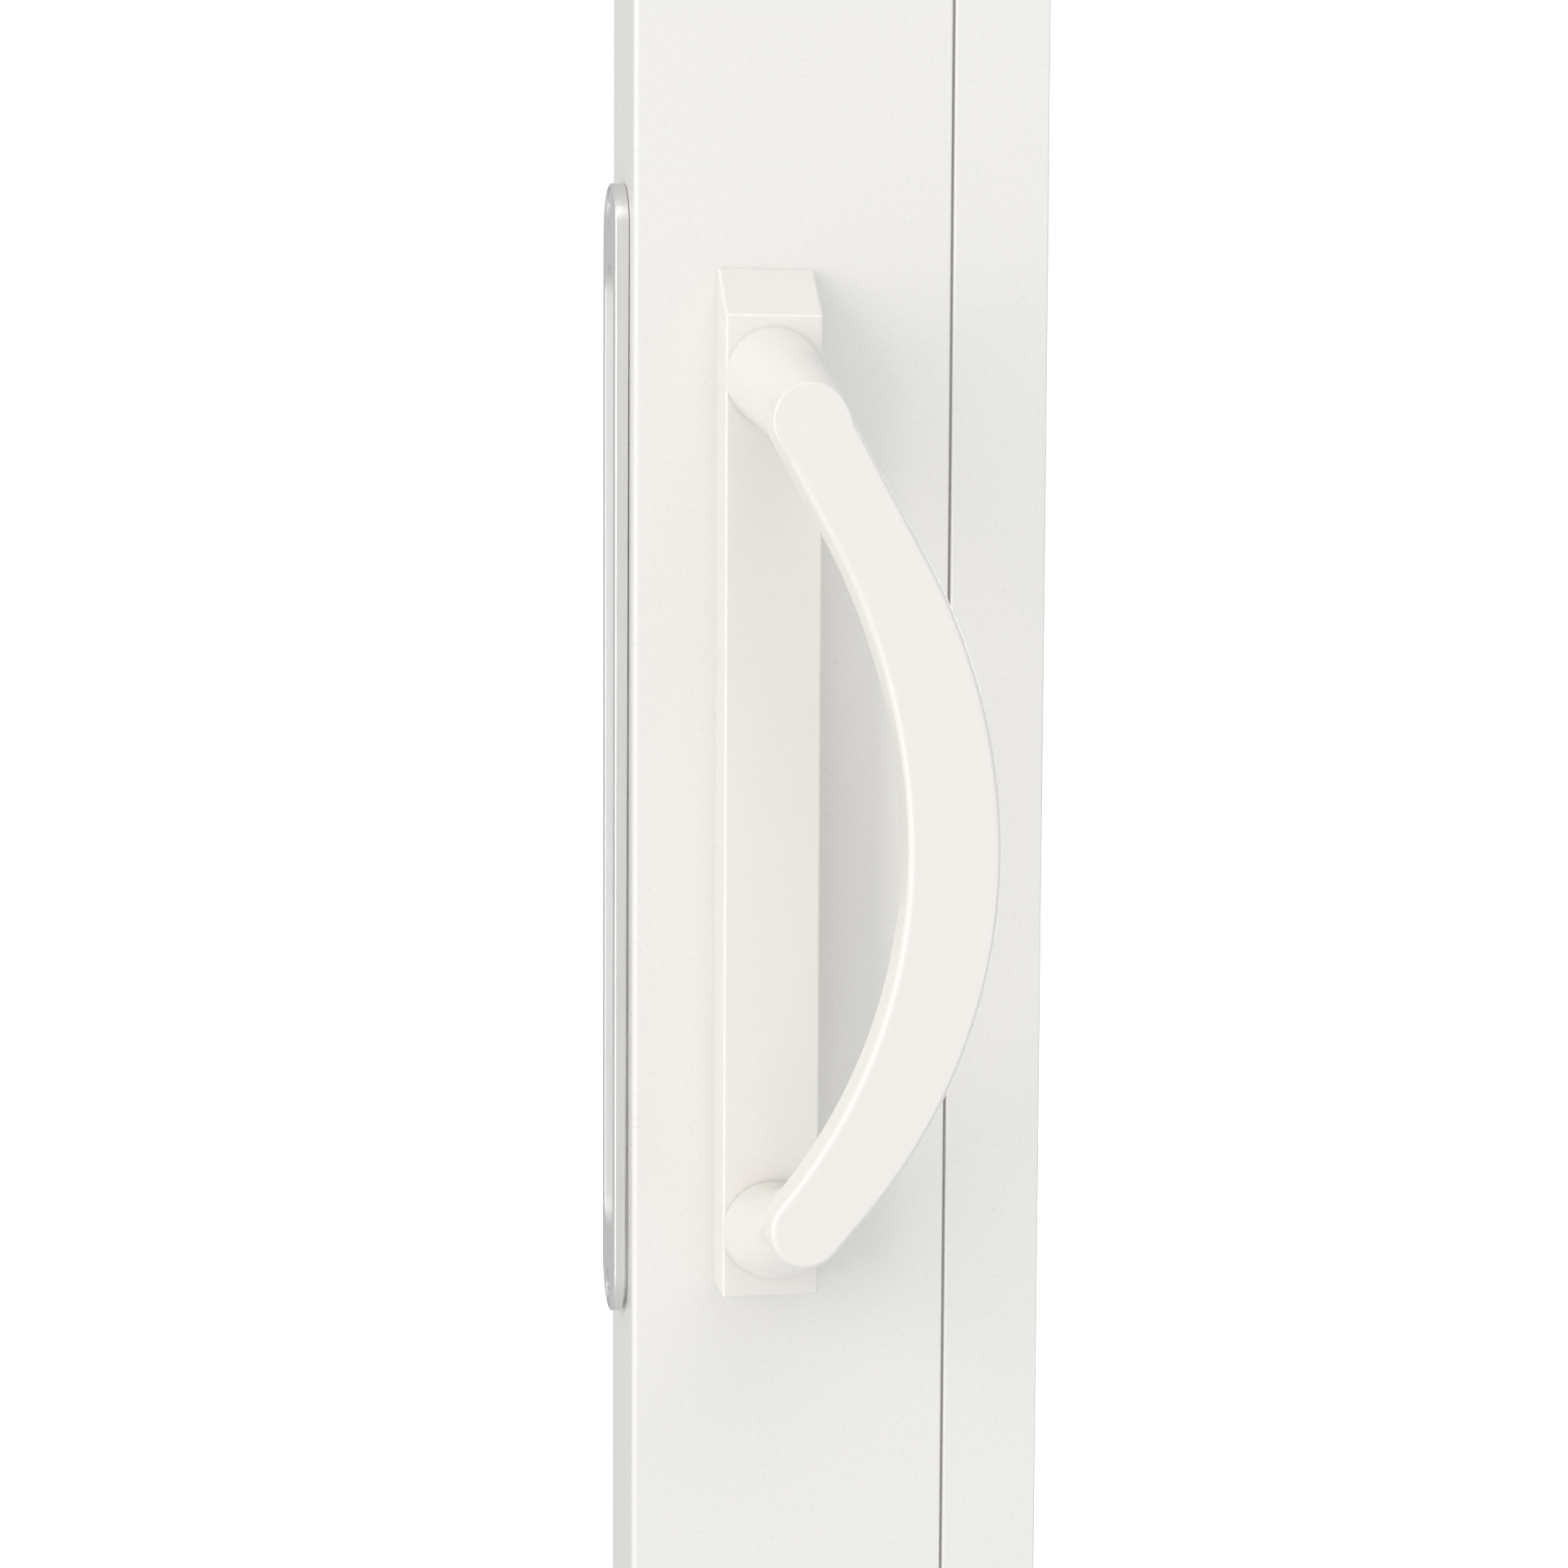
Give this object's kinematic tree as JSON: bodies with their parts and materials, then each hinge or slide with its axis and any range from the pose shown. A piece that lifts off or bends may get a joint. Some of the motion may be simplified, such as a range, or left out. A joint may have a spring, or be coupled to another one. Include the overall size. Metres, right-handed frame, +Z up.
{
  "type": "sliding window sash with lever handle",
  "caption": "Glazed sliding sash with a bowed turning lever handle on its closing stile, a dished edge plate, hook lock, rollers and interlock.",
  "frame": {"origin": "on the closing edge of the lock stile, in the middle of the sash's depth, at the sash's lowest line, where it enters the bottom track", "axes": "+X from the closing edge into the sash, +Y from the room to the outside, +Z up"},
  "size_m": [0.6036, 0.11, 0.85],
  "materials": {
    "white_powder_coat": "gloss white powder coat",
    "handle_white": "smooth gloss white powder coat on a zinc casting",
    "satin_plate": "satin light grey coating on pressed metal",
    "screw_chrome": "bright plated",
    "zinc_steel": "zinc-plated steel",
    "hardened_steel": "ground steel",
    "mill_aluminium": "mill finish",
    "glazing": "clear float glass",
    "gasket_rubber": "matt black EPDM",
    "sealant": "matt black butyl",
    "nylon_white": "natural nylon",
    "nylon_grey": "grey nylon",
    "pile": "grey woven pile"
  },
  "bodies": {
    "sash": {"lock_stile": "white_powder_coat", "meeting_stile": "white_powder_coat", "bottom_rail": "white_powder_coat", "top_rail": "white_powder_coat", "left_bead": "white_powder_coat", "right_bead": "white_powder_coat", "bottom_bead": "white_powder_coat", "top_bead": "white_powder_coat", "handle_cover": "handle_white", "handle_base": "zinc_steel", "lever_bush": "nylon_white", "foot_pad": "nylon_white", "detent_spring": "hardened_steel", "base_screws": "zinc_steel", "rivet_nuts": "zinc_steel", "edge_plate": "satin_plate", "edge_plate_screws": "screw_chrome", "edge_nut_plates": "zinc_steel", "hook_pins": "hardened_steel", "lock_case": "zinc_steel", "lock_cover": "zinc_steel", "case_screws": "zinc_steel", "rack_guides": "nylon_white", "frame_screws": "zinc_steel", "corner_cleats": "mill_aluminium", "stile_end_caps": "nylon_grey", "inner_pane": "glazing", "outer_pane": "glazing", "edge_sealant": "sealant", "glazing_spacer": "mill_aluminium", "inner_gasket": "gasket_rubber", "outer_gasket": "gasket_rubber", "setting_blocks": "nylon_grey", "left_roller_housing": "zinc_steel", "right_roller_housing": "zinc_steel", "left_roller_axle": "hardened_steel", "right_roller_axle": "hardened_steel", "roller_screws": "zinc_steel", "top_guides": "nylon_white", "guide_screws": "zinc_steel", "edge_pile_seal": "pile", "interlock_pile_seal": "pile"},
    "handle": {"handle_lever": "handle_white", "lever_spindle": "zinc_steel", "lever_circlip": "hardened_steel", "drive_pinion": "hardened_steel"},
    "rack": {"drive_rack": "zinc_steel"},
    "upper_hook_body": {"upper_hook": "hardened_steel"},
    "lower_hook_body": {"lower_hook": "hardened_steel"},
    "left_wheel": {"left_roller_wheel": "nylon_white"},
    "right_wheel": {"right_roller_wheel": "nylon_white"}
  },
  "joints": [
    {"name": "handle_turn", "type": "hinge", "parent": "sash", "child": "handle", "pos_m": [0.0327, 0, 0.525], "axis": [0, -1, 0], "range_deg": [0, 90]},
    {"name": "rack_travel", "type": "slide", "parent": "sash", "child": "rack", "axis": [0, 0, -1], "range_m": [0, 0.01257]},
    {"name": "upper_hook_swing", "type": "hinge", "parent": "sash", "child": "upper_hook_body", "pos_m": [0.011, 0, 0.5], "axis": [0, 1, 0], "range_deg": [0, 90.01]},
    {"name": "lower_hook_swing", "type": "hinge", "parent": "sash", "child": "lower_hook_body", "pos_m": [0.011, 0, 0.36], "axis": [0, 1, 0], "range_deg": [0, 90.01]},
    {"name": "left_wheel_spin", "type": "hinge", "parent": "sash", "child": "left_wheel", "pos_m": [0.155, 0, 0.015], "axis": [0, 1, 0], "continuous": true},
    {"name": "right_wheel_spin", "type": "hinge", "parent": "sash", "child": "right_wheel", "pos_m": [0.465, 0, 0.015], "axis": [0, 1, 0], "continuous": true}
  ],
  "couplings": [
    {"joint": "rack_travel", "follows": "handle_turn", "m_per_rad": 0.008},
    {"joint": "upper_hook_swing", "follows": "handle_turn", "ratio": 1},
    {"joint": "lower_hook_swing", "follows": "handle_turn", "ratio": 1}
  ]
}
